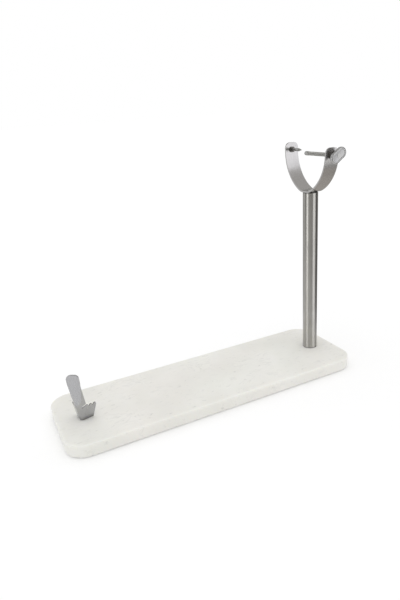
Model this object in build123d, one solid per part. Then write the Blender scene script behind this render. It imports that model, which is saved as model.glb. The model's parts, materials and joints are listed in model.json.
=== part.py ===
from build123d import *
from math import cos, radians, sin
import os

# A ham stand: a stone board, a steel column with a U-shaped clamp fork on its top, and a folded,
# toothed support for the other end of the ham. Units are millimetres. The origin is on the table
# under the middle of the board, +X runs along the board to the column, and +Z is up.

# Board and the pads under it
BOARD_LENGTH = 480.0
BOARD_WIDTH = 150.0
BOARD_CORNER = 30.0
BOARD_TOP = 20.0
BOARD_EDGE_ROUND = 1.5
PAD_RADIUS = 8.0
PAD_HEIGHT = 1.2
PAD_INSET = 24.0
COUNTERBORE_DEPTH = 8.0
BOLT_CLEARANCE = 0.2

# Column: a round tube with a threaded plug pressed into each end
COLUMN_X = 203.0
COLUMN_RADIUS = 12.0
COLUMN_WALL = 1.2
COLUMN_TOP = 289.0
GASKET_HEIGHT = 0.8
PLUG_HEIGHT = 20.0
COLUMN_BOLT_RADIUS = 4.0
COLUMN_BOLT_DEPTH = 15.0
COLUMN_WASHER_RADIUS = 10.0
COLUMN_WASHER_HEIGHT = 1.6
COLUMN_HEAD_FLATS = 13.0
COLUMN_HEAD_HEIGHT = 5.0

# Fork: one strap bent to a U across the board, with a screw through its seat
STRAP_WIDTH = 24.0
STRAP_THICKNESS = 2.4
STRAP_SEAT_HALF = 5.0
STRAP_LOW_RADIUS = 20.0
STRAP_LOW_ANGLE = 25.0
STRAP_HIGH_RADIUS = 66.0
NEAR_ARM_TOP = 359.0
FAR_ARM_TOP = 364.0
STRAP_CORNER = 8.5
FORK_WASHER_RADIUS = 8.0
FORK_WASHER_HEIGHT = 0.9
FORK_SCREW_RADIUS = 3.0
FORK_SCREW_DEPTH = 12.0
FORK_HEAD_RADIUS = 5.2
FORK_HEAD_HEIGHT = 2.9

# Fixed spike on the far arm
SPIKE_HEIGHT = 352.8
SPIKE_RADIUS = 2.5
SPIKE_TIP_Y = 22.0
SPIKE_CONE = 9.0
SPIKE_SHANK_RADIUS = 2.0
SPIKE_COLLAR_RADIUS = 4.4
SPIKE_COLLAR_HEIGHT = 2.4
SPIKE_NUT_FLATS = 8.0
SPIKE_NUT_HEIGHT = 4.0

# Clamp screw on the near arm, with its swivelling nose and its wing knob
CLAMP_HEIGHT = 348.3
CLAMP_RADIUS = 3.0
CLAMP_BOSS_RADIUS = 6.5
CLAMP_BOSS_HEIGHT = 3.5
CLAMP_BOSS_EDGE = 0.8
CLAMP_SPIGOT_RADIUS = 5.0
NOSE_RADIUS = 3.2
NOSE_TIP_Y = 14.0
NOSE_LENGTH = 9.0
NOSE_PIVOT_RADIUS = 1.6
NOSE_PIVOT_LENGTH = 5.0
NOSE_END_GAP = 0.1
WING_MIDDLE_Y = -64.0
WING_THICKNESS = 5.6
WING_LOBE_RADIUS = 8.3
WING_LOBE_OFFSET = 6.0
WING_ANGLE = 34.0
WING_EDGE_ROUND = 2.2
HUB_RADIUS = 6.0
HUB_REACH = 4.2
ROD_IN_HUB = 6.4
WING_PIN_RADIUS = 1.0

# Front support: a folded sheet on a foot plate that swivels about one bolt
SUPPORT_X = -198.4
SUPPORT_OPENING = 56.0
SUPPORT_REACH = 15.4
SHEET = 1.5
SHEET_LIFT = 0.3
SPINE_HALF = 1.8
TONGUE_HALF = 9.4
TONGUE_FOLD_TOP = 62.0
TONGUE_LENGTH = 77.0
TONGUE_FAR_CORNER = 8.5
TONGUE_NEAR_CORNER = 5.0
TONGUE_LEAN = 5.0
NEAR_WING_FOLD = 45.0
FAR_WING_FOLD = 38.0
WING_FOOT = 16.4
NEAR_WING_TIP = 21.8
FAR_WING_TIP = 19.0
WING_CORNER_LEVEL = 20.0
TOOTH_COUNT = 3
TOOTH_INSET = 2.2
TOOTH_PITCH = 5.8
TOOTH_TIP_HALF = 1.2
TOOTH_LEVEL = 23.0
TOOTH_RISE = 0.4
TOOTH_DEPTH = 2.6
RELIEF_FOOT = 21.0
RELIEF_WIDTH = 2.6
RELIEF_INSET = 0.4
STRIP_WIDTH = 6.4
STRIP_LEVEL = 26.6
FOOT_PAD_HEIGHT = 0.8
FOOT_HEIGHT = 2.0
FOOT_RADIUS = 9.0
FOOT_ARM = 13.0
WELD_NUT_RADIUS = 5.0
WELD_NUT_HEIGHT = 4.0
SUPPORT_BOLT_RADIUS = 3.0
SUPPORT_WASHER_RADIUS = 8.0
SUPPORT_WASHER_HEIGHT = 1.6
SUPPORT_HEAD_FLATS = 10.0
SUPPORT_HEAD_HEIGHT = 4.0

# Gaps between pieces that move on each other
TURNING_GAP = 0.05
FACE_GAP = 0.05

# Levels and places that follow from the sizes above
CEILING = PAD_HEIGHT + COUNTERBORE_DEPTH
TUBE_BOTTOM = BOARD_TOP + GASKET_HEIGHT
SEAT_UNDER = COLUMN_TOP + FORK_WASHER_HEIGHT + FACE_GAP
SEAT_TOP = SEAT_UNDER + STRAP_THICKNESS
ARM_OUTER = (STRAP_SEAT_HALF + STRAP_LOW_RADIUS * sin(radians(STRAP_LOW_ANGLE))
             + STRAP_HIGH_RADIUS * (1 - sin(radians(STRAP_LOW_ANGLE))))
ARM_INNER = ARM_OUTER - STRAP_THICKNESS
HUB_INNER_Y = WING_MIDDLE_Y + HUB_REACH
SPINE = Vector(SUPPORT_X, 0, 0) - Vector(SUPPORT_REACH, 0, 0).rotate(Axis.Z, SUPPORT_OPENING)


def disc(radius, bottom, height, x=0.0, y=0.0):
    """An upright cylinder from its bottom level."""
    return Pos(x, y, bottom) * Cylinder(radius, height, align=(Align.CENTER, Align.CENTER, Align.MIN))


def hex_prism(flats, bottom, height, x=0.0, y=0.0):
    """An upright hexagonal prism from its bottom level."""
    return Pos(x, y, bottom) * extrude(RegularPolygon(flats / 2, 6, major_radius=False), height)


def bar(radius, start_y, end_y, height):
    """A cylinder along Y at the column, between two Y places."""
    low = min(start_y, end_y)
    length = abs(end_y - start_y)
    return Pos(COLUMN_X, low + length / 2, height) * Rot(90, 0, 0) * Cylinder(radius, length)


def turned_along_y(outline, height):
    """A solid of revolution about a line along Y; the outline's points are (radius, y)."""
    section = make_face(Polyline(*outline, close=True))
    return Pos(COLUMN_X, 0, height) * revolve(section, Axis.Y)


def marble_board():
    slab = extrude(RectangleRounded(BOARD_LENGTH, BOARD_WIDTH, BOARD_CORNER), BOARD_TOP - PAD_HEIGHT)
    slab = Pos(0, 0, PAD_HEIGHT) * slab
    slab = fillet(slab.edges().group_by(Axis.Z)[-1], BOARD_EDGE_ROUND)
    slab = chamfer(slab.edges().group_by(Axis.Z)[0], BOARD_EDGE_ROUND / 2)
    slab -= disc(COLUMN_BOLT_RADIUS + BOLT_CLEARANCE, 0, BOARD_TOP + 1, COLUMN_X)
    slab -= disc(COLUMN_WASHER_RADIUS + 1, 0, CEILING, COLUMN_X)
    slab -= disc(SUPPORT_BOLT_RADIUS + TURNING_GAP, 0, BOARD_TOP + 1, SUPPORT_X)
    slab -= disc(SUPPORT_WASHER_RADIUS + 1, 0, CEILING, SUPPORT_X)
    return slab


def pads():
    reach_x = BOARD_LENGTH / 2 - PAD_INSET
    reach_y = BOARD_WIDTH / 2 - PAD_INSET
    places = [(side_x * reach_x, side_y * reach_y) for side_x in (-1, 1) for side_y in (-1, 1)]
    return Compound(children=[disc(PAD_RADIUS, 0, PAD_HEIGHT, x, y) for x, y in places])


def column_pieces():
    inner = COLUMN_RADIUS - COLUMN_WALL
    tube = disc(COLUMN_RADIUS, TUBE_BOTTOM, COLUMN_TOP - TUBE_BOTTOM, COLUMN_X)
    tube -= disc(inner, TUBE_BOTTOM, COLUMN_TOP - TUBE_BOTTOM, COLUMN_X)
    bolt_top = TUBE_BOTTOM + COLUMN_BOLT_DEPTH
    washer_bottom = CEILING - COLUMN_WASHER_HEIGHT
    plug_bottom = COLUMN_TOP - PLUG_HEIGHT
    lower_plug = disc(inner, TUBE_BOTTOM, PLUG_HEIGHT, COLUMN_X)
    lower_plug -= disc(COLUMN_BOLT_RADIUS, TUBE_BOTTOM, COLUMN_BOLT_DEPTH + 1, COLUMN_X)
    upper_plug = disc(inner, plug_bottom, PLUG_HEIGHT, COLUMN_X)
    upper_plug -= disc(FORK_SCREW_RADIUS, COLUMN_TOP - FORK_SCREW_DEPTH - 1, FORK_SCREW_DEPTH + 1, COLUMN_X)
    gasket = disc(COLUMN_RADIUS, BOARD_TOP, GASKET_HEIGHT, COLUMN_X)
    gasket -= disc(COLUMN_BOLT_RADIUS + BOLT_CLEARANCE, BOARD_TOP, GASKET_HEIGHT, COLUMN_X)
    bolt = disc(COLUMN_BOLT_RADIUS, washer_bottom, bolt_top - washer_bottom, COLUMN_X)
    bolt += hex_prism(COLUMN_HEAD_FLATS, washer_bottom - COLUMN_HEAD_HEIGHT, COLUMN_HEAD_HEIGHT, COLUMN_X)
    washer = disc(COLUMN_WASHER_RADIUS, washer_bottom, COLUMN_WASHER_HEIGHT, COLUMN_X)
    washer -= disc(COLUMN_BOLT_RADIUS, washer_bottom, COLUMN_WASHER_HEIGHT, COLUMN_X)
    return {
        "column_tube": tube,
        "column_lower_plug": lower_plug,
        "column_upper_plug": upper_plug,
        "column_gasket": gasket,
        "column_bolt": bolt,
        "column_bolt_washer": washer,
    }


def strap_side(inset, top):
    """One arm's side view from the middle of the seat to the tip, inset from the outer face."""
    seat = Line((0, inset), (STRAP_SEAT_HALF, inset))
    low = JernArc(seat @ 1, (1, 0), STRAP_LOW_RADIUS - inset, STRAP_LOW_ANGLE)
    high = JernArc(low @ 1, low % 1, STRAP_HIGH_RADIUS - inset, 90 - STRAP_LOW_ANGLE)
    tip = Line(high @ 1, (ARM_OUTER - inset, top - SEAT_UNDER))
    return [seat, low, high, tip]


def strap_half(top):
    """The section of the strap from the middle of its seat to one tip."""
    outer = strap_side(0, top)
    inner = strap_side(STRAP_THICKNESS, top)
    end = Line(outer[-1] @ 1, inner[-1] @ 1)
    middle = Line(outer[0] @ 0, inner[0] @ 0)
    return make_face(Curve() + outer + inner + [end, middle])


def fork_strap():
    section = strap_half(FAR_ARM_TOP) + mirror(strap_half(NEAR_ARM_TOP), Plane.YZ)
    strap = Pos(COLUMN_X - STRAP_WIDTH / 2, 0, SEAT_UNDER) * extrude(Plane.YZ * section, STRAP_WIDTH)
    tips = strap.edges().filter_by(Axis.Y).filter_by(lambda edge: edge.center().Z > NEAR_ARM_TOP - 1)
    strap = fillet(tips, STRAP_CORNER)
    strap -= disc(FORK_SCREW_RADIUS + TURNING_GAP, SEAT_UNDER - 1, STRAP_THICKNESS + 2, COLUMN_X)
    strap -= bar(SPIKE_SHANK_RADIUS, ARM_INNER - 1, ARM_OUTER + 1, SPIKE_HEIGHT)
    strap -= bar(CLAMP_SPIGOT_RADIUS, -ARM_OUTER - 1, -ARM_INNER + 1, CLAMP_HEIGHT)
    return strap


def fork_fixings():
    washer = disc(FORK_WASHER_RADIUS, COLUMN_TOP, FORK_WASHER_HEIGHT, COLUMN_X)
    washer -= disc(FORK_SCREW_RADIUS, COLUMN_TOP, FORK_WASHER_HEIGHT, COLUMN_X)
    head_bottom = SEAT_TOP + FACE_GAP
    dome_radius = (FORK_HEAD_RADIUS ** 2 + FORK_HEAD_HEIGHT ** 2) / (2 * FORK_HEAD_HEIGHT)
    dome = Pos(COLUMN_X, 0, head_bottom + FORK_HEAD_HEIGHT - dome_radius) * Sphere(dome_radius)
    head = dome & disc(FORK_HEAD_RADIUS, head_bottom, FORK_HEAD_HEIGHT, COLUMN_X)
    shank_bottom = COLUMN_TOP - FORK_SCREW_DEPTH
    screw = head + disc(FORK_SCREW_RADIUS, shank_bottom, head_bottom - shank_bottom + 1, COLUMN_X)
    return {"fork_washer": washer, "fork_screw": screw}


def spike_pieces(strap):
    collar_y = ARM_INNER - SPIKE_COLLAR_HEIGHT
    nut_end = ARM_OUTER + SPIKE_NUT_HEIGHT
    spike = turned_along_y([
        (0, SPIKE_TIP_Y), (SPIKE_RADIUS, SPIKE_TIP_Y + SPIKE_CONE), (SPIKE_RADIUS, collar_y),
        (SPIKE_SHANK_RADIUS, collar_y), (SPIKE_SHANK_RADIUS, nut_end), (0, nut_end),
    ], SPIKE_HEIGHT)
    collar = bar(SPIKE_COLLAR_RADIUS, collar_y, ARM_INNER, SPIKE_HEIGHT)
    collar -= bar(SPIKE_SHANK_RADIUS, collar_y, ARM_INNER, SPIKE_HEIGHT)
    collar -= strap
    hexagon = Plane.XZ * RegularPolygon(SPIKE_NUT_FLATS / 2, 6, major_radius=False)
    nut = Pos(COLUMN_X, nut_end, SPIKE_HEIGHT) * extrude(hexagon, SPIKE_NUT_HEIGHT)
    nut -= bar(SPIKE_SHANK_RADIUS, ARM_OUTER, nut_end, SPIKE_HEIGHT)
    return {"spike": spike, "spike_collar": collar, "spike_nut": nut}


def clamp_pieces(strap):
    boss_end = -ARM_OUTER - CLAMP_BOSS_HEIGHT
    boss = bar(CLAMP_BOSS_RADIUS, -ARM_INNER, boss_end, CLAMP_HEIGHT)
    boss = chamfer(boss.edges().sort_by(Axis.Y)[0], CLAMP_BOSS_EDGE)
    boss -= strap
    boss -= bar(CLAMP_RADIUS + TURNING_GAP, -ARM_INNER, boss_end, CLAMP_HEIGHT)

    nose_base = NOSE_TIP_Y - NOSE_LENGTH
    nose = bar(NOSE_RADIUS, nose_base, NOSE_TIP_Y - NOSE_RADIUS, CLAMP_HEIGHT)
    nose += Pos(COLUMN_X, NOSE_TIP_Y - NOSE_RADIUS, CLAMP_HEIGHT) * Sphere(NOSE_RADIUS)
    pocket_end = nose_base + NOSE_PIVOT_LENGTH + NOSE_END_GAP
    nose -= bar(NOSE_PIVOT_RADIUS + TURNING_GAP, nose_base, pocket_end, CLAMP_HEIGHT)

    rod_start = HUB_INNER_Y - ROD_IN_HUB
    shoulder = nose_base - NOSE_END_GAP
    rod = bar(CLAMP_RADIUS, rod_start, shoulder, CLAMP_HEIGHT)
    rod += bar(NOSE_PIVOT_RADIUS, shoulder, nose_base + NOSE_PIVOT_LENGTH, CLAMP_HEIGHT)

    wing = Plane.XZ * Rot(0, 0, WING_ANGLE) * SlotCenterToCenter(2 * WING_LOBE_OFFSET, 2 * WING_LOBE_RADIUS)
    wing = Pos(COLUMN_X, WING_MIDDLE_Y + WING_THICKNESS / 2, CLAMP_HEIGHT) * extrude(wing, WING_THICKNESS)
    wing = fillet(wing.edges().group_by(Axis.Y)[0] + wing.edges().group_by(Axis.Y)[-1], WING_EDGE_ROUND)
    wing += bar(HUB_RADIUS, WING_MIDDLE_Y, HUB_INNER_Y, CLAMP_HEIGHT)
    wing -= bar(CLAMP_RADIUS, rod_start, HUB_INNER_Y, CLAMP_HEIGHT)

    pin = Cylinder(WING_PIN_RADIUS, 2 * WING_LOBE_RADIUS)
    pin = Pos(COLUMN_X, WING_MIDDLE_Y, CLAMP_HEIGHT) * Rot(0, -WING_ANGLE, 0) * pin
    wing -= pin
    rod -= pin
    return {"clamp_boss": boss, "clamp_nose": nose, "clamp_rod": rod, "wing_knob": wing, "wing_pin": pin}


def side_outline(fold_top, tip):
    """A side wing with its teeth, then the relief slot, then the tongue's folded strip."""
    def at(reach, level):
        return (reach + level * fold_top.X / fold_top.Y, level)

    points = [(0, 0), (WING_FOOT, 0), at(tip, WING_CORNER_LEVEL)]
    for tooth in range(TOOTH_COUNT):
        middle = tip - TOOTH_INSET - tooth * TOOTH_PITCH
        level = TOOTH_LEVEL + tooth * TOOTH_RISE
        points += [at(middle + TOOTH_TIP_HALF, level), at(middle - TOOTH_TIP_HALF, level)]
        if tooth < TOOTH_COUNT - 1:
            points.append(at(middle - TOOTH_PITCH / 2, level - TOOTH_DEPTH))
    points += [at(RELIEF_INSET, RELIEF_FOOT), at(RELIEF_INSET, RELIEF_FOOT + RELIEF_WIDTH)]
    points += [at(STRIP_WIDTH, STRIP_LEVEL), (fold_top.X, fold_top.Y)]
    return make_face(Polyline(*points, close=True))


def front_support():
    opening = Vector(1, 0, 0).rotate(Axis.Z, SUPPORT_OPENING)
    across = Vector(1, 0, 0).rotate(Axis.Z, SUPPORT_OPENING - 90)
    up = Vector(0, 0, cos(radians(TONGUE_LEAN))) - opening * sin(radians(TONGUE_LEAN))
    base = SPINE + Vector(0, 0, BOARD_TOP)

    tongue = make_face(Polyline(
        (-SPINE_HALF, 0), (SPINE_HALF, 0), (TONGUE_HALF, TONGUE_FOLD_TOP), (TONGUE_HALF, TONGUE_LENGTH),
        (-TONGUE_HALF, TONGUE_LENGTH), (-TONGUE_HALF, TONGUE_FOLD_TOP), close=True))
    near_tip = tongue.vertices().group_by(Axis.Y)[-1].sort_by(Axis.X)[-1]
    tongue = fillet(near_tip, TONGUE_NEAR_CORNER)
    far_tip = tongue.vertices().group_by(Axis.Y)[-1].sort_by(Axis.X)[0]
    tongue = fillet(far_tip, TONGUE_FAR_CORNER)
    sheet = extrude(Plane(origin=base, x_dir=across, z_dir=across.cross(up)) * tongue, -SHEET)

    for side, fold_angle, tip in ((-1, FAR_WING_FOLD, FAR_WING_TIP), (1, NEAR_WING_FOLD, NEAR_WING_TIP)):
        along = Vector(1, 0, 0).rotate(Axis.Z, SUPPORT_OPENING - side * fold_angle)
        corner = base + across * (side * SPINE_HALF)
        fold = across * (side * (TONGUE_HALF - SPINE_HALF)) + up * TONGUE_FOLD_TOP
        normal = along.cross(fold).normalized()
        plane = Plane(origin=corner, x_dir=along, z_dir=normal)
        fold_top = plane.to_local_coords(corner + fold)
        sheet += extrude(plane * side_outline(fold_top, tip), -side * SHEET)
    clear = Box(200, 200, 50, align=(Align.CENTER, Align.CENTER, Align.MAX))
    return sheet - Pos(SUPPORT_X, 0, BOARD_TOP + SHEET_LIFT) * clear


def support_fixings(sheet):
    foot_bottom = BOARD_TOP + FOOT_PAD_HEIGHT
    nut_bottom = foot_bottom + FOOT_HEIGHT
    near = SPINE + Vector(FOOT_ARM, 0, 0).rotate(Axis.Z, SUPPORT_OPENING - NEAR_WING_FOLD)
    far = SPINE + Vector(FOOT_ARM, 0, 0).rotate(Axis.Z, SUPPORT_OPENING + FAR_WING_FOLD)
    kite = make_face(Polyline(SPINE, near, Vector(SUPPORT_X, 0, 0), far, close=True))
    foot = Pos(0, 0, foot_bottom) * extrude(kite, FOOT_HEIGHT)
    foot += disc(FOOT_RADIUS, foot_bottom, FOOT_HEIGHT, SUPPORT_X)
    foot -= disc(SUPPORT_BOLT_RADIUS, foot_bottom, FOOT_HEIGHT, SUPPORT_X)
    foot -= sheet
    pad = disc(FOOT_RADIUS, BOARD_TOP + FACE_GAP, FOOT_PAD_HEIGHT - FACE_GAP, SUPPORT_X)
    pad -= disc(SUPPORT_BOLT_RADIUS, BOARD_TOP, FOOT_PAD_HEIGHT, SUPPORT_X)
    nut = disc(WELD_NUT_RADIUS, nut_bottom, WELD_NUT_HEIGHT, SUPPORT_X)
    nut -= disc(SUPPORT_BOLT_RADIUS, nut_bottom, WELD_NUT_HEIGHT, SUPPORT_X)
    washer_bottom = CEILING - SUPPORT_WASHER_HEIGHT
    washer = disc(SUPPORT_WASHER_RADIUS, washer_bottom, SUPPORT_WASHER_HEIGHT, SUPPORT_X)
    washer -= disc(SUPPORT_BOLT_RADIUS + TURNING_GAP, washer_bottom, SUPPORT_WASHER_HEIGHT, SUPPORT_X)
    head_top = washer_bottom - FACE_GAP
    bolt = disc(SUPPORT_BOLT_RADIUS, head_top, nut_bottom + WELD_NUT_HEIGHT - head_top, SUPPORT_X)
    bolt += hex_prism(SUPPORT_HEAD_FLATS, head_top - SUPPORT_HEAD_HEIGHT, SUPPORT_HEAD_HEIGHT, SUPPORT_X)
    return {
        "support_foot": foot,
        "support_foot_pad": pad,
        "support_weld_nut": nut,
        "support_bolt_washer": washer,
        "support_bolt": bolt,
    }


def all_pieces():
    pieces = {"marble_board": marble_board(), "board_pads": pads()}
    pieces.update(column_pieces())
    pieces["fork_strap"] = fork_strap()
    pieces.update(fork_fixings())
    pieces.update(spike_pieces(pieces["fork_strap"]))
    pieces.update(clamp_pieces(pieces["fork_strap"]))
    pieces["front_support"] = front_support()
    pieces.update(support_fixings(pieces["front_support"]))
    return pieces


os.makedirs("parts", exist_ok=True)
for name, solid in all_pieces().items():
    export_step(solid, f"parts/{name}.step")
    print(name)
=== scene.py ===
"""The looks of a ham stand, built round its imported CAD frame."""
import json
import math

import bmesh
import bpy
from mathutils import Matrix, Vector


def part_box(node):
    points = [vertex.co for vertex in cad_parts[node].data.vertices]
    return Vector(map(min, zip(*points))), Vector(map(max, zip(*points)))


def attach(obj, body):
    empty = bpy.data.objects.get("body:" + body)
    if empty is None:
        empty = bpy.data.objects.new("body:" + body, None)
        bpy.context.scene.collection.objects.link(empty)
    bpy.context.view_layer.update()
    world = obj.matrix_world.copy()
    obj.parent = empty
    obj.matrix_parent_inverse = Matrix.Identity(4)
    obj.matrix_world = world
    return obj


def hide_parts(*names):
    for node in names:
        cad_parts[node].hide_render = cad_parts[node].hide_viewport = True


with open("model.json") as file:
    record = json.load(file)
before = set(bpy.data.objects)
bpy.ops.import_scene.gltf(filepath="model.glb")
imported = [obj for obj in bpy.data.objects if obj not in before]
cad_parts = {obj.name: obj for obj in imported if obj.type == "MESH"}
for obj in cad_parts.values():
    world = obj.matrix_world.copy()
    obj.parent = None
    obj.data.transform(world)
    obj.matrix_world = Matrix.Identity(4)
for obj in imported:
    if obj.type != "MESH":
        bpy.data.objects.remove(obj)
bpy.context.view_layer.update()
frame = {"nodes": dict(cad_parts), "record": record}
NODES = frame["nodes"]

# Camera: where it stands in metres, how it is turned in degrees, and its lens in millimetres
CAMERA_PLACE = (-0.2931, -0.6502, 0.4210)
CAMERA_YAW = -25.52
CAMERA_PITCH = 20.72
CAMERA_ROLL = -3.94
CAMERA_LENS = 30.09
CAMERA_SHIFT = -0.02

# Where the softboxes are aimed
COLUMN_X = 0.2


# ---------------------------------------------------------------- node helpers

def new_material(name):
    """A new material, its node tree and its Principled shader."""
    material = bpy.data.materials.new(name)
    material.use_nodes = True
    tree = material.node_tree
    shader = tree.nodes["Principled BSDF"]
    return material, tree, shader


def add(tree, kind, **values):
    """A node with its properties and its inputs set by name."""
    node = tree.nodes.new(kind)
    for key, value in values.items():
        if hasattr(node, key):
            setattr(node, key, value)
        else:
            node.inputs[key.replace("_", " ")].default_value = value
    return node


def wire(tree, source, target):
    """Links an output to an input."""
    tree.links.new(source, target)


def stretched(tree, scale, rotation=(0, 0, 0)):
    """Object coordinates, scaled differently along each axis."""
    place = add(tree, "ShaderNodeTexCoord")
    mapping = add(tree, "ShaderNodeMapping")
    mapping.inputs["Scale"].default_value = scale
    mapping.inputs["Rotation"].default_value = rotation
    wire(tree, place.outputs["Object"], mapping.inputs["Vector"])
    return mapping.outputs["Vector"]


def noise(tree, vector, scale, detail=4.0, roughness=0.5, distortion=0.0):
    """A noise value at a place."""
    node = add(tree, "ShaderNodeTexNoise")
    node.inputs["Scale"].default_value = scale
    node.inputs["Detail"].default_value = detail
    node.inputs["Roughness"].default_value = roughness
    node.inputs["Distortion"].default_value = distortion
    wire(tree, vector, node.inputs["Vector"])
    return node.outputs["Fac"]


def ramp(tree, value, stops):
    """A colour ramp; stops are (position, (r, g, b))."""
    node = add(tree, "ShaderNodeValToRGB")
    elements = node.color_ramp.elements
    while len(elements) < len(stops):
        elements.new(0.5)
    for element, (position, colour) in zip(elements, stops):
        element.position = position
        element.color = (*colour, 1)
    wire(tree, value, node.inputs["Fac"])
    return node.outputs["Color"]


def span(tree, value, low, high, to_low, to_high):
    """Maps a value from one range to another."""
    node = add(tree, "ShaderNodeMapRange")
    node.inputs["From Min"].default_value = low
    node.inputs["From Max"].default_value = high
    node.inputs["To Min"].default_value = to_low
    node.inputs["To Max"].default_value = to_high
    wire(tree, value, node.inputs["Value"])
    return node.outputs["Result"]


def mixed(tree, amount, first, second, kind="MIX"):
    """Mixes two colours; each source is a number, a colour or an output."""
    factor_socket, first_socket, second_socket, colour_output = 0, 6, 7, 2
    node = add(tree, "ShaderNodeMix", data_type="RGBA", blend_type=kind)
    for socket, source in ((factor_socket, amount), (first_socket, first), (second_socket, second)):
        if isinstance(source, (int, float)):
            node.inputs[socket].default_value = source
        elif isinstance(source, tuple):
            node.inputs[socket].default_value = (*source, 1)
        else:
            wire(tree, source, node.inputs[socket])
    return node.outputs[colour_output]


def bump(tree, shader, height, strength, distance):
    """Fine relief from a height value."""
    node = add(tree, "ShaderNodeBump")
    node.inputs["Strength"].default_value = strength
    node.inputs["Distance"].default_value = distance
    wire(tree, height, node.inputs["Height"])
    wire(tree, node.outputs["Normal"], shader.inputs["Normal"])


# ---------------------------------------------------------------- materials

def marble():
    """Fine-grained white stone with soft clouds, short grey veins and flecks, which light enters a little."""
    material, tree, shader = new_material("marble")
    place = stretched(tree, (1, 1, 1))
    clouds = noise(tree, place, 14, 5, 0.55)
    base = ramp(tree, clouds, [
        (0.30, (0.80, 0.79, 0.748)), (0.55, (0.842, 0.832, 0.79)), (0.75, (0.873, 0.863, 0.826))])
    vein_place = stretched(tree, (1, 1.7, 1), (0, 0, 0.5))
    veins = noise(tree, vein_place, 24, 8, 0.60, 1.2)
    vein_mask = ramp(tree, veins, [(0.465, (0, 0, 0)), (0.50, (0.5, 0.5, 0.5)), (0.525, (0, 0, 0))])
    patches = span(tree, noise(tree, place, 30, 2), 0.50, 0.68, 0, 0.45)
    vein_amount = add(tree, "ShaderNodeMath", operation="MULTIPLY")
    wire(tree, vein_mask, vein_amount.inputs[0])
    wire(tree, patches, vein_amount.inputs[1])
    colour = mixed(tree, vein_amount.outputs[0], base, (0.45, 0.45, 0.44))
    speck_place = stretched(tree, (1, 2.2, 1), (0, 0, 0.9))
    specks = span(tree, noise(tree, speck_place, 120, 3), 0.63, 0.76, 0, 0.34)
    colour = mixed(tree, specks, colour, (0.42, 0.42, 0.41))
    tints = noise(tree, stretched(tree, (1, 1, 1), (0.4, 0.2, 0)), 10, 2)
    tint = ramp(tree, tints, [(0.35, (1.0, 0.988, 0.988)), (0.65, (0.985, 1.0, 0.99))])
    colour = mixed(tree, 0.6, colour, tint, "MULTIPLY")
    grain = span(tree, noise(tree, place, 900, 2), 0.3, 0.7, 0, 0.10)
    colour = mixed(tree, grain, colour, (0.9, 0.9, 0.88))
    wire(tree, colour, shader.inputs["Base Color"])
    wire(tree, span(tree, clouds, 0.3, 0.7, 0.38, 0.52), shader.inputs["Roughness"])
    shader.inputs["Subsurface Weight"].default_value = 0.6
    shader.inputs["Subsurface Scale"].default_value = 1.0
    shader.inputs["Subsurface Radius"].default_value = (0.005, 0.005, 0.0045)
    bump(tree, shader, noise(tree, place, 700, 3), 0.12, 0.0002)
    return material


# Colour of the painted shade that darkens steel near its foot
PAINTED_SHADE_COLOUR = (0.13, 0.13, 0.125)


def steel(name, colour, roughness, grain_scale, bump_strength=0.15, dark=0.82, painted_shade_levels=None):
    """Stainless steel, brushed along the axis whose grain scale is smallest.

    Where painted_shade_levels is given, painted shade darkens the steel at the first height and is gone at the
    second.
    """
    material, tree, shader = new_material(name)
    place = stretched(tree, grain_scale)
    lines = noise(tree, place, 1.0, 6, 0.65)
    smudge = noise(tree, stretched(tree, (1, 1, 1)), 45, 3)
    darker = tuple(c * dark for c in colour)
    tint = ramp(tree, lines, [(0.25, darker), (0.75, colour)])
    tint = mixed(tree, span(tree, smudge, 0.35, 0.75, 0, 0.25), tint, darker)
    # Painted shade: the steel darkens towards its foot, standing in for the shadowed board it reflects there
    if painted_shade_levels:
        height = add(tree, "ShaderNodeSeparateXYZ")
        wire(tree, stretched(tree, (1, 1, 1)), height.inputs[0])
        painted_shade_amount = span(tree, height.outputs["Z"], *painted_shade_levels, 0.62, 0)
        tint = mixed(tree, painted_shade_amount, tint, PAINTED_SHADE_COLOUR)
    wire(tree, tint, shader.inputs["Base Color"])
    shader.inputs["Metallic"].default_value = 1.0
    total = add(tree, "ShaderNodeMath", operation="ADD")
    wire(tree, span(tree, lines, 0.3, 0.7, roughness - 0.05, roughness + 0.07), total.inputs[0])
    wire(tree, span(tree, smudge, 0.4, 0.7, 0, 0.06), total.inputs[1])
    wire(tree, total.outputs[0], shader.inputs["Roughness"])
    bump(tree, shader, lines, bump_strength, 0.0001)
    return material


def rubber():
    """Dark matt rubber."""
    material, tree, shader = new_material("pad_rubber")
    place = stretched(tree, (1, 1, 1))
    mottle = noise(tree, place, 400, 3)
    colour = ramp(tree, mottle, [(0.3, (0.09, 0.09, 0.088)), (0.7, (0.12, 0.12, 0.117))])
    wire(tree, colour, shader.inputs["Base Color"])
    wire(tree, span(tree, mottle, 0.3, 0.7, 0.6, 0.75), shader.inputs["Roughness"])
    bump(tree, shader, mottle, 0.2, 0.0001)
    return material


def brushed_round(material):
    """Steel ground round its circumference, so that reflections smear along its length."""
    shader = material.node_tree.nodes["Principled BSDF"]
    shader.inputs["Anisotropic"].default_value = 1.0
    shader.inputs["Anisotropic Rotation"].default_value = 0.25
    return material


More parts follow.
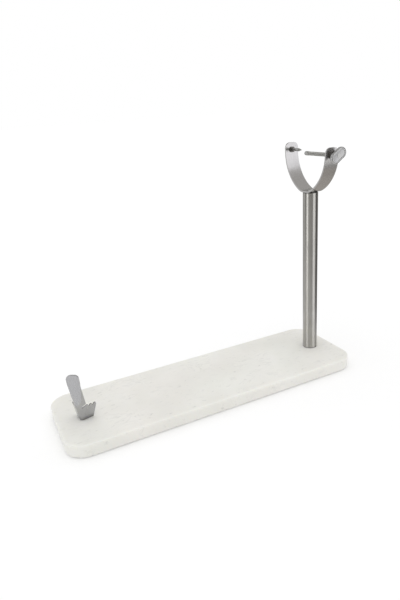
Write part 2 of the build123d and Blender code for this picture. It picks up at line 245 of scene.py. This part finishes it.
FINE = 2200
# Heights in metres where the front support's painted shade is darkest and where it ends
SUPPORT_PAINTED_SHADE_LEVELS = (0.0203, 0.0265)
MATERIALS = {
    "marble": marble(),
    "pad_rubber": rubber(),
    "tube_steel": brushed_round(
        steel("tube_steel", (0.605, 0.594, 0.567), 0.32, (FINE, FINE, 60), 0.04, 0.86)),
    "strap_steel": steel("strap_steel", (0.64, 0.63, 0.625), 0.19, (FINE, 90, 90), 0.03, 0.88),
    "support_steel": steel("support_steel", (0.52, 0.52, 0.53), 0.20, (700, 700, 90), 0.08, 0.80, SUPPORT_PAINTED_SHADE_LEVELS),
    "rod_steel": steel("rod_steel", (0.62, 0.62, 0.60), 0.34, (900, 60, 900), 0.04, 0.88),
    "fixing_steel": steel("fixing_steel", (0.62, 0.62, 0.61), 0.22, (400, 400, 400), 0.05),
    # Dark steel for the collars; on the fork's washer it is painted shade, darkening the gap under the strap
    "collar_steel": steel("collar_steel", (0.20, 0.19, 0.18), 0.35, (500, 500, 500), 0.05),
    "knob_metal": steel("knob_metal", (0.60, 0.60, 0.60), 0.34, (300, 300, 300), 0.08),
    "plug_steel": steel("plug_steel", (0.36, 0.36, 0.36), 0.40, (600, 600, 100)),
    "zinc_fixings": steel("zinc_fixings", (0.55, 0.55, 0.52), 0.35, (300, 300, 300), 0.05),
}


def dress_cad():
    """Gives each CAD node the material of its slot."""
    slots = {row["node"]: row["material_slot"] for row in frame["record"]["subparts"]}
    for name, node in NODES.items():
        node.data.materials.clear()
        node.data.materials.append(MATERIALS[slots[name]])


# ---------------------------------------------------------------- detail pieces

CLAMP = Vector((0.203, 0, 0.3483))

ROD_RADIUS = 0.003
ROD_SIDES = 36
PLAIN_AT_KNOB = 0.0072
PLAIN_AT_NOSE = 0.001
SHOULDER_EDGE = 0.0003
SHOULDER_STEP = 0.00001
PIVOT_LENGTH = 0.005
PIVOT_RADIUS = 0.0016
THREAD_PITCH = 0.001
THREAD_DEPTH = 0.00055
THREAD_RINGS = 8
THREAD_FLANK = 2.6
THREAD_ROOT = 0.15
THREAD_START_FADE = 0.0012
THREAD_END_FADE = 0.0008


def new_piece(name, work, body, node, slot, smooth=35):
    """Turns a bmesh into a piece that rides on a body and stands for a CAD node."""
    bmesh.ops.recalc_face_normals(work, faces=work.faces)
    mesh = bpy.data.meshes.new(name)
    work.to_mesh(mesh)
    work.free()
    mesh.shade_smooth()
    mesh.set_sharp_from_angle(angle=math.radians(smooth))
    mesh.materials.append(MATERIALS[slot])
    piece = bpy.data.objects.new(name, mesh)
    bpy.context.scene.collection.objects.link(piece)
    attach(piece, body)
    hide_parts(node)
    return piece


def bridge(work, rings):
    """Joins closed rings of equal length with quads, and caps the two ends."""
    count = len(rings[0])
    for first, second in zip(rings, rings[1:]):
        for k in range(count):
            work.faces.new((first[k], first[(k + 1) % count], second[(k + 1) % count], second[k]))
    work.faces.new(rings[0])
    work.faces.new(list(reversed(rings[-1])))


def turns(count):
    """Evenly spaced angles once round."""
    return [2 * math.pi * k / count for k in range(count)]


def threaded_rod():
    """The clamp's rod with a right-hand thread, plain at the knob and stepped down at the nose."""
    low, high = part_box("clamp_rod")
    start, end = low[1], high[1]
    shoulder = end - PIVOT_LENGTH
    thread_start = start + PLAIN_AT_KNOB
    thread_end = shoulder - PLAIN_AT_NOSE
    steps = int((thread_end - thread_start) / THREAD_PITCH * THREAD_RINGS)
    work = bmesh.new()

    def ring(y, radius_at):
        made = []
        for turn in turns(ROD_SIDES):
            radius = radius_at(turn)
            place = (CLAMP.x + radius * math.sin(turn), y, CLAMP.z + radius * math.cos(turn))
            made.append(work.verts.new(place))
        return made

    def thread(y):
        def radius_at(turn):
            phase = ((y - thread_start) / THREAD_PITCH - turn / (2 * math.pi)) % 1
            height = min(1, max(0, THREAD_FLANK * min(phase, 1 - phase) - THREAD_ROOT))
            fade = min(1, (y - thread_start) / THREAD_START_FADE, (thread_end - y) / THREAD_END_FADE)
            return ROD_RADIUS - THREAD_DEPTH * (1 - height) * fade
        return radius_at

    rings = [ring(start, lambda turn: ROD_RADIUS)]
    for step in range(steps + 1):
        y = thread_start + (thread_end - thread_start) * step / steps
        rings.append(ring(y, thread(y)))
    rings.append(ring(shoulder, lambda turn: ROD_RADIUS - SHOULDER_EDGE))
    rings.append(ring(shoulder + SHOULDER_STEP, lambda turn: PIVOT_RADIUS))
    rings.append(ring(end, lambda turn: PIVOT_RADIUS))
    bridge(work, rings)
    return new_piece("clamp_thread", work, "clamp_screw", "clamp_rod", "rod_steel", 60)


KNOB_ANGLE = math.radians(34)
KNOB_OFFSET = 0.006
KNOB_RADIUS = 0.0083
KNOB_MIDDLE = -0.064
KNOB_HALF = 0.0028
KNOB_EDGE = 0.0022
KNOB_HALF_SIDES = 24
KNOB_EDGE_STEPS = 6
HUB_SIDES = 40
# Across the recess and up its lip: the oval's radius, and how far its ring lies below the face
RECESS = [(0.0048, 0.0009), (0.0051, 0.00085), (0.0053, 0.0001), (0.0055, 0.0)]
# The hub's radius, and its reach from the knob's middle towards the fork
HUB = [(0.0060, 0.0020), (0.0060, 0.0030), (0.0054, 0.00325), (0.0054, 0.0036),
       (0.0060, 0.00385), (0.00575, 0.0042), (0.0032, 0.0042), (0.0031, 0.0041)]


def wing_knob():
    """The oval knob: rounded edges, a shallow recess in each face, and its hub with a waist groove."""
    work = bmesh.new()

    def oval(radius, y):
        made = []
        for k in range(2 * KNOB_HALF_SIDES + 2):
            side = 1 if k <= KNOB_HALF_SIDES else -1
            turn = math.pi * (k if side == 1 else k - 1) / KNOB_HALF_SIDES - math.pi / 2
            u = side * KNOB_OFFSET + radius * math.cos(turn)
            v = radius * math.sin(turn)
            x = u * math.cos(KNOB_ANGLE) - v * math.sin(KNOB_ANGLE)
            z = u * math.sin(KNOB_ANGLE) + v * math.cos(KNOB_ANGLE)
            made.append(work.verts.new((CLAMP.x + x, y, CLAMP.z + z)))
        return made

    outline = [(radius, KNOB_HALF - depth) for radius, depth in RECESS]
    for step in range(KNOB_EDGE_STEPS + 1):
        bend = math.pi / 2 * step / KNOB_EDGE_STEPS
        outline.append((KNOB_RADIUS - KNOB_EDGE + KNOB_EDGE * math.sin(bend),
                        KNOB_HALF - KNOB_EDGE + KNOB_EDGE * math.cos(bend)))
    outline += [(radius, -height) for radius, height in reversed(outline)]
    bridge(work, [oval(radius, KNOB_MIDDLE - height) for radius, height in outline])

    rings = []
    for radius, reach in HUB:
        rings.append([work.verts.new((CLAMP.x + radius * math.sin(turn), KNOB_MIDDLE + reach,
                                      CLAMP.z + radius * math.cos(turn))) for turn in turns(HUB_SIDES)])
    bridge(work, rings)
    return new_piece("knob_face", work, "clamp_screw", "wing_knob", "knob_metal", 40)


SOFTENED_ANGLE = 30


def soften(name, width):
    """Small rounded edges on a sheet-metal node, as a tumbled blank has."""
    bevel = NODES[name].modifiers.new("edge", "BEVEL")
    bevel.width = width
    bevel.segments = 3
    bevel.limit_method = "ANGLE"
    bevel.angle_limit = math.radians(SOFTENED_ANGLE)
    bevel.harden_normals = False


# ---------------------------------------------------------------- stage

def make_camera():
    """One camera, which looks at the stand from a little above."""
    yaw, pitch, roll = (math.radians(a) for a in (CAMERA_YAW, CAMERA_PITCH, CAMERA_ROLL))
    forward = Vector((-math.sin(yaw) * math.cos(pitch), math.cos(yaw) * math.cos(pitch), -math.sin(pitch)))
    right = Vector((math.cos(yaw), math.sin(yaw), 0))
    up = right.cross(forward)
    rolled_right = right * math.cos(roll) + up * math.sin(roll)
    rolled_up = up * math.cos(roll) - right * math.sin(roll)
    data = bpy.data.cameras.new("camera")
    data.lens = CAMERA_LENS
    data.shift_x = CAMERA_SHIFT
    data.clip_start = 0.01
    camera = bpy.data.objects.new("camera", data)
    camera.matrix_world = (Matrix.Translation(CAMERA_PLACE)
                           @ Matrix((rolled_right, rolled_up, -forward)).transposed().to_4x4())
    bpy.context.scene.collection.objects.link(camera)
    bpy.context.scene.camera = camera


def top_light():
    """Wide soft light from straight above, the same everywhere on the floor."""
    data = bpy.data.lights.new("top_light", "SUN")
    data.energy = 0.66
    data.angle = math.radians(100)
    light = bpy.data.objects.new("top_light", data)
    light.visible_glossy = False
    bpy.context.scene.collection.objects.link(light)


def make_floor():
    """The pale table top; polished metal sees past it, as past the edge of a small table."""
    mesh = bpy.data.meshes.new("floor")
    work = bmesh.new()
    bmesh.ops.create_grid(work, x_segments=1, y_segments=1, size=40)
    work.to_mesh(mesh)
    work.free()
    floor = bpy.data.objects.new("floor", mesh)
    bpy.context.scene.collection.objects.link(floor)
    material, tree, shader = new_material("floor_paint")
    shader.inputs["Base Color"].default_value = (0.93, 0.93, 0.93, 1)
    shader.inputs["Roughness"].default_value = 1.0
    shader.inputs["Specular IOR Level"].default_value = 0.0
    shader.inputs["Emission Color"].default_value = (1, 1, 1, 1)
    shader.inputs["Emission Strength"].default_value = 0.075
    mesh.materials.append(material)
    floor.visible_glossy = False


def glow_only(mesh, glow, tint):
    """Gives a mesh a plain, even glow."""
    material = bpy.data.materials.new(mesh.name)
    material.use_nodes = True
    material.cycles.emission_sampling = "NONE"
    tree = material.node_tree
    tree.nodes.clear()
    light = add(tree, "ShaderNodeEmission")
    light.inputs["Color"].default_value = (*tint, 1)
    light.inputs["Strength"].default_value = glow
    wire(tree, light.outputs[0], add(tree, "ShaderNodeOutputMaterial").inputs["Surface"])
    mesh.materials.append(material)


def glowing_panel(name, place, size, glow, tint):
    """A plain, evenly glowing rectangle that only shiny surfaces see."""
    mesh = bpy.data.meshes.new(name)
    work = bmesh.new()
    bmesh.ops.create_grid(work, x_segments=1, y_segments=1, size=0.5)
    bmesh.ops.scale(work, vec=(size[0], size[1], 1), verts=work.verts)
    work.to_mesh(mesh)
    work.free()
    panel = bpy.data.objects.new(name, mesh)
    panel.location = place
    bpy.context.scene.collection.objects.link(panel)
    glow_only(mesh, glow, tint)
    for kind in ("camera", "diffuse", "transmission", "volume_scatter", "shadow"):
        setattr(panel, f"visible_{kind}", False)
    return panel


def softbox(name, bearing, distance, size, height, glow, tint=(1, 1, 1)):
    """An upright panel that faces the column."""
    turn = math.radians(bearing)
    centre = Vector((COLUMN_X, 0, height))
    place = centre + distance * Vector((math.cos(turn), math.sin(turn), 0))
    panel = glowing_panel(name, place, size, glow, tint)
    panel.rotation_euler = (centre - place).to_track_quat("Z", "Y").to_euler()


def glowing_level(name, place, size, glow, tint=(1, 1, 1)):
    """A level panel: table, floor or ceiling, as shiny surfaces see it."""
    glowing_panel(name, place, size, glow, tint)


ROOM = (0.31, 0.305, 0.295)
SOFT_WHITE = (0.8, 0.8, 0.8)
WHITE = (1.0, 1.0, 1.0)


def make_world():
    """White to the camera and soft light from everywhere; shiny surfaces see a darker room."""
    world = bpy.data.worlds.new("studio")
    world.use_nodes = True
    tree = world.node_tree
    background = tree.nodes["Background"]
    rays = add(tree, "ShaderNodeLightPath")
    seen = mixed(tree, rays.outputs["Is Glossy Ray"], SOFT_WHITE, ROOM)
    seen = mixed(tree, rays.outputs["Is Camera Ray"], seen, WHITE)
    wire(tree, seen, background.inputs["Color"])
    background.inputs["Strength"].default_value = 1.0
    bpy.context.scene.world = world


def make_stage():
    """Floor, surroundings, panels and light; a panel's sizes are in metres and its bearing in degrees."""
    make_floor()
    make_world()
    softbox("left_softbox", 186, 1.2, (0.50, 2.4), 0.75, 1.75)
    softbox("right_softbox", -68, 1.2, (0.76, 2.4), 0.75, 1.30)
    softbox("upper_softbox", -51, 1.2, (0.30, 2.6), 1.45, 1.27, (0.97, 0.97, 1.0))
    softbox("back_softbox", 118, 1.6, (0.8, 3.0), 0.4, 0.75)
    softbox("dark_card", -15, 1.0, (0.5, 1.6), 0.2, 0.08)
    glowing_level("near_table", (-0.07, 0, -0.0005), (0.86, 0.42), 0.95)
    glowing_level("room_floor", (0.2, 0, -0.75), (2.4, 2.4), 0.44, (1.0, 0.94, 0.87))
    glowing_level("ceiling", (0.2, 0, 2.2), (4.6, 4.6), 0.50, (1.0, 0.98, 0.95))
    top_light()
    bpy.context.scene.view_settings.view_transform = "Standard"


make_camera()
make_stage()
dress_cad()
threaded_rod()
wing_knob()
soften("front_support", 0.0005)
soften("fork_strap", 0.0004)
